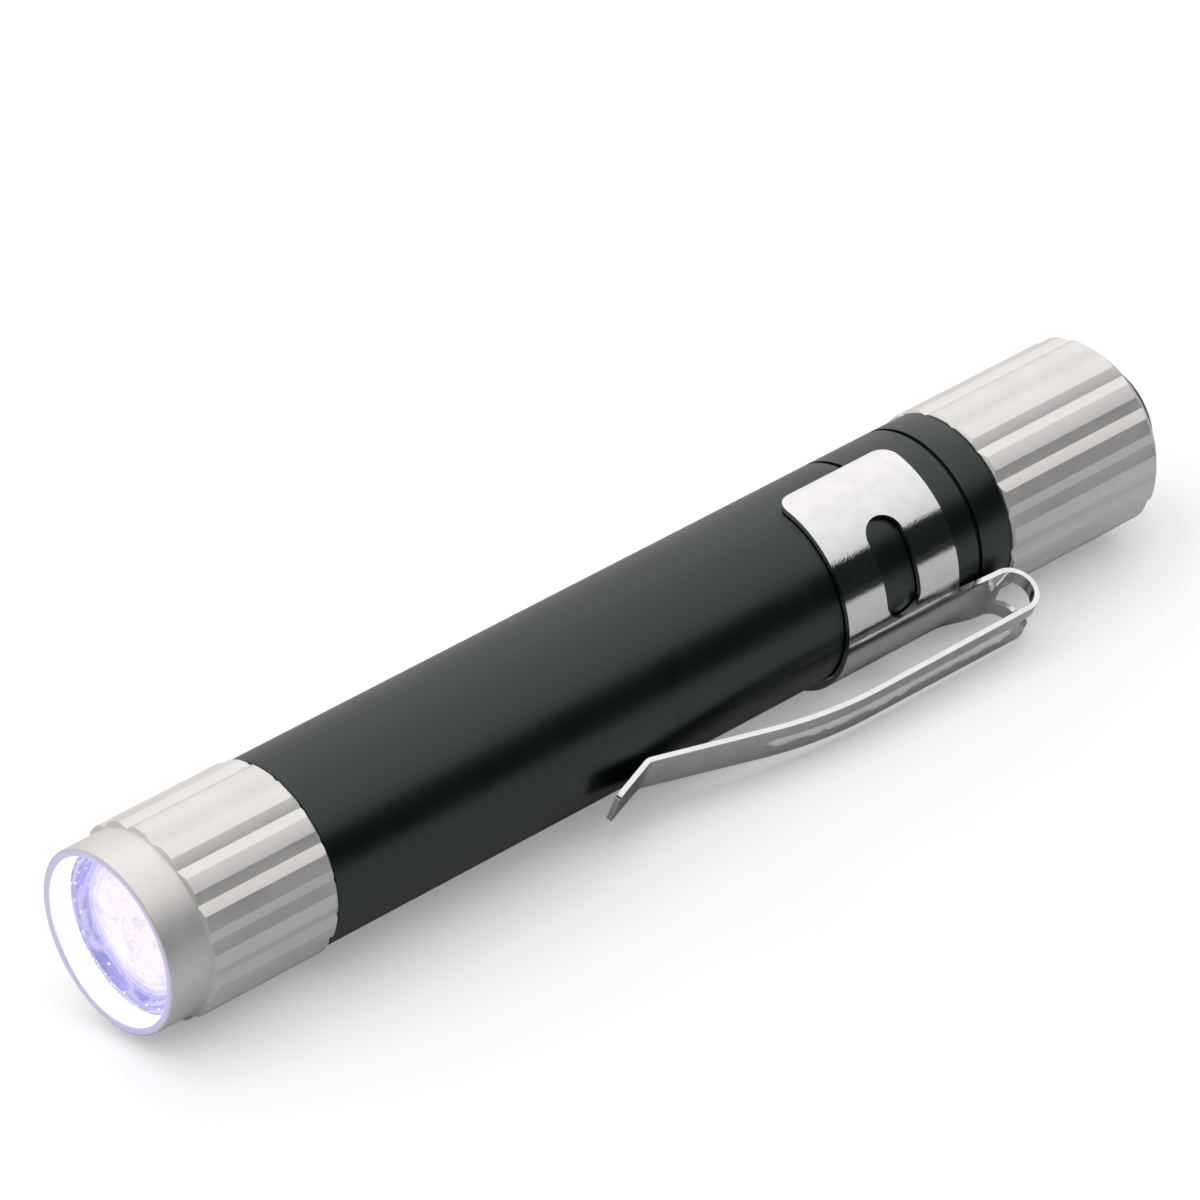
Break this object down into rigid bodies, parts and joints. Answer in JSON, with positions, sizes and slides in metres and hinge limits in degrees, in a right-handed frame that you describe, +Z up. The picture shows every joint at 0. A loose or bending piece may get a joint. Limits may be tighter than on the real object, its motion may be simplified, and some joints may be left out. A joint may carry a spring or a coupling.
{
  "type": "ultraviolet counterfeit detector pen",
  "caption": "Slim ultraviolet pen torch for checking banknotes: fluted silver head and tail cap, black barrel, steel pocket clip and a rubber tail button.",
  "frame": {"origin": "under the middle of the bounding box, on the surface that the pen lies on", "axes": "+X along the pen from the lamp head to the tail button, +Z up with the pen lying on its pocket clip"},
  "size_m": [0.094, 0.0176, 0.0151],
  "materials": {
    "silver_anodised": "fine matt blasted and clear anodised",
    "black_anodised": "satin black anodised",
    "bright_spring_steel": "bright nickel plated spring steel",
    "spring_wire": "drawn spring wire",
    "battery_can": "nickel plated can",
    "battery_wrap": "plain shrink wrap",
    "brass": "turned",
    "mirror_coating": "vacuum metallised plastic",
    "lens_acrylic": "pebbled clear acrylic, lit violet",
    "violet_ring": "clear ring lit blue violet",
    "led_silicone": "clear silicone dome, lit violet",
    "circuit_board": "solder mask",
    "ferrite": "sintered",
    "black_plastic": "moulded",
    "white_plastic": "moulded acetal",
    "seal_rubber": "nitrile",
    "boot_rubber": "satin silicone rubber"
  },
  "bodies": {
    "pen": {"head_shell": "silver_anodised", "lens_ring": "violet_ring", "lens": "lens_acrylic", "reflector": "mirror_coating", "uv_led": "led_silicone", "lamp_board": "circuit_board", "driver_housing": "black_plastic", "driver_board": "circuit_board", "driver_chip": "black_plastic", "driver_coil": "ferrite", "contact_pin": "brass", "head_seal": "seal_rubber", "barrel": "black_anodised", "tail_seal": "seal_rubber", "battery_can": "battery_can", "battery_wrap": "battery_wrap"},
    "clip": {"clip_band": "bright_spring_steel"},
    "arm": {"clip_arm": "bright_spring_steel"},
    "cap_carriage": {"tail_spring": "spring_wire"},
    "cap": {"tail_cap": "silver_anodised", "retaining_ring": "brass", "switch_housing": "black_plastic", "switch_cover": "black_plastic", "switch_contact": "brass", "switch_spring": "spring_wire"},
    "button": {"button_boot": "boot_rubber", "switch_plunger": "white_plastic"}
  },
  "joints": [
    {"name": "clip_swivel", "type": "hinge", "parent": "pen", "child": "clip", "pos_m": [0, 0.00162, 0.00755], "axis": [1, 0, 0], "continuous": true},
    {"name": "clip_flex", "type": "hinge", "parent": "clip", "child": "arm", "pos_m": [0.0291, -0.00622, 0.00306], "axis": [0, -0.497, 0.8678], "range_deg": [0, 7], "stiffness_Nm_per_rad": 0.4, "springref_deg": -1.15},
    {"name": "cap_travel", "type": "slide", "parent": "pen", "child": "cap_carriage", "axis": [1, 0, 0], "range_m": [0, 0.0045]},
    {"name": "cap_turn", "type": "hinge", "parent": "cap_carriage", "child": "cap", "pos_m": [0, 0.00162, 0.00755], "axis": [1, 0, 0], "range_deg": [0, 2160.1]},
    {"name": "button_press", "type": "slide", "parent": "cap", "child": "button", "axis": [-1, 0, 0], "range_m": [0, 0.0012], "stiffness_N_per_m": 2500, "springref_m": -0.0004, "deforming": ["switch_spring"]}
  ],
  "couplings": [
    {"joint": "cap_turn", "follows": "cap_travel", "rad_per_m": 8377.6}
  ]
}
